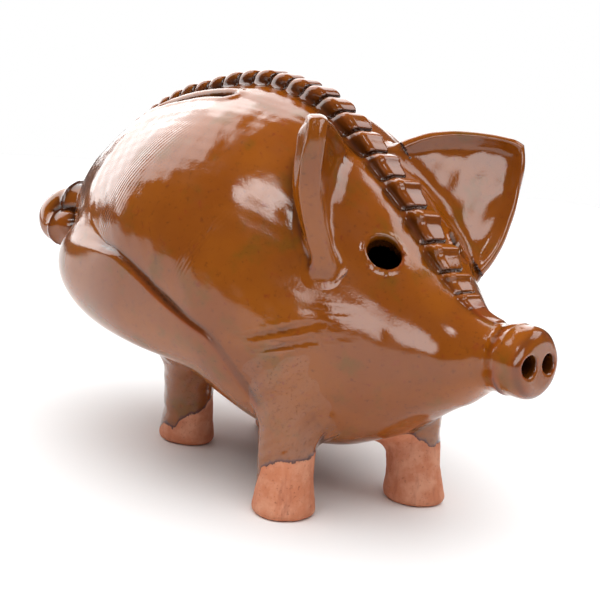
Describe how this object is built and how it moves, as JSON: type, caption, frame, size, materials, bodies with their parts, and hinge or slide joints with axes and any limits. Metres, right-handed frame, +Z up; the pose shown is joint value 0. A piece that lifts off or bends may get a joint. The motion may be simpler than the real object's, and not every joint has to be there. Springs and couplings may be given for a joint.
{
  "type": "piggy bank",
  "caption": "Hand-thrown glazed redware piggy bank with a long snout, notched mane, coin slot beside it, stub feet and a belly stopper.",
  "frame": {"origin": "on the floor under the middle of the outline seen from above", "axes": "+X to the snout, +Y to the pig's left, +Z up"},
  "size_m": [0.1965, 0.1066, 0.1184],
  "materials": {
    "honey_glaze": "glossy honey-brown lead-style glaze over red clay, olive where it pools",
    "dipped_clay": "bare salmon terracotta foot, glazed above a wavy line",
    "stopper_rubber": "plain dark rubber"
  },
  "bodies": {
    "pig": {"body_shell": "honey_glaze", "snout_disc": "honey_glaze", "ear_right": "honey_glaze", "ear_left": "honey_glaze", "mane_crest": "honey_glaze", "tail": "honey_glaze", "thigh_right": "honey_glaze", "thigh_left": "honey_glaze", "leg_front_right": "dipped_clay", "leg_front_left": "dipped_clay", "leg_rear_right": "dipped_clay", "leg_rear_left": "dipped_clay"},
    "stopper": {"belly_stopper": "stopper_rubber"}
  },
  "joints": [
    {"name": "stopper_pull", "type": "slide", "parent": "pig", "child": "stopper", "axis": [-0.2419, 0, -0.9703], "range_m": [0, 0.03]}
  ]
}
